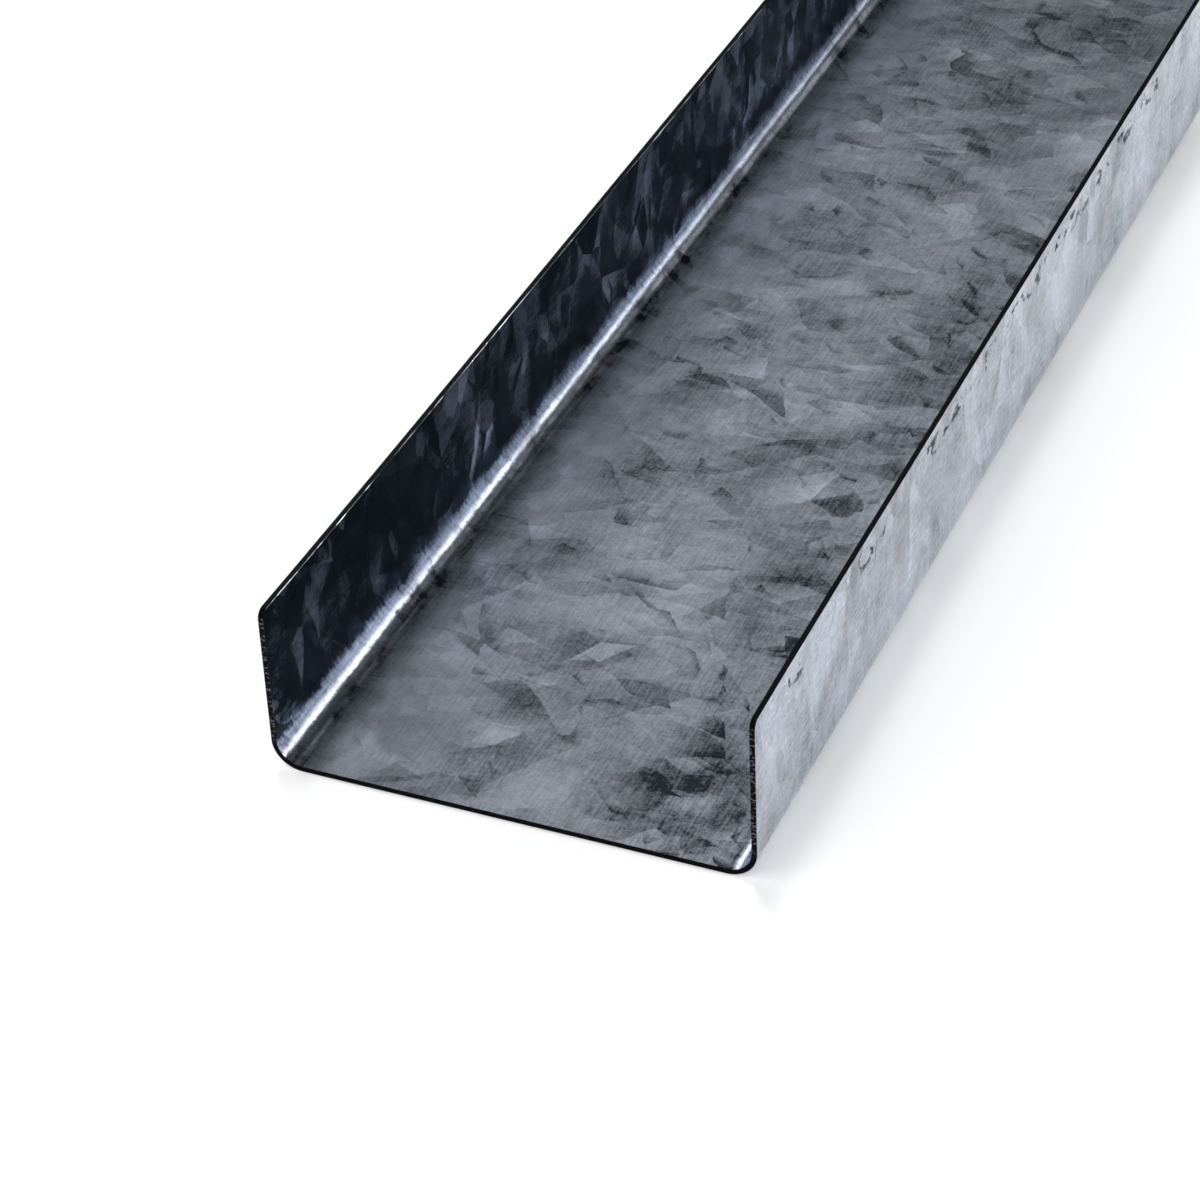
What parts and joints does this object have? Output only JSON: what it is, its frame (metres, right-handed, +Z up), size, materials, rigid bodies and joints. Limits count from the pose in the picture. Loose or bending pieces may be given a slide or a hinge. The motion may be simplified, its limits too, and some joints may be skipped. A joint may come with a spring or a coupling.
{
  "type": "drywall track",
  "caption": "Straight U-shaped wall track with a flat web and upright legs, rolled from spangled galvanised sheet steel; it holds stud ends along a floor or ceiling.",
  "frame": {"origin": "on the floor, under the middle of the web and halfway along the length", "axes": "+Y along the channel, +Z up out of its open side, +X across the web from leg to leg"},
  "size_m": [0.1038, 3.048, 0.0381],
  "materials": {
    "galvanised_steel": "hot-dip galvanised with visible spangle, slightly dulled, bare dark steel at the cut edges"
  },
  "bodies": {
    "root": {"track": "galvanised_steel"}
  },
  "joints": []
}
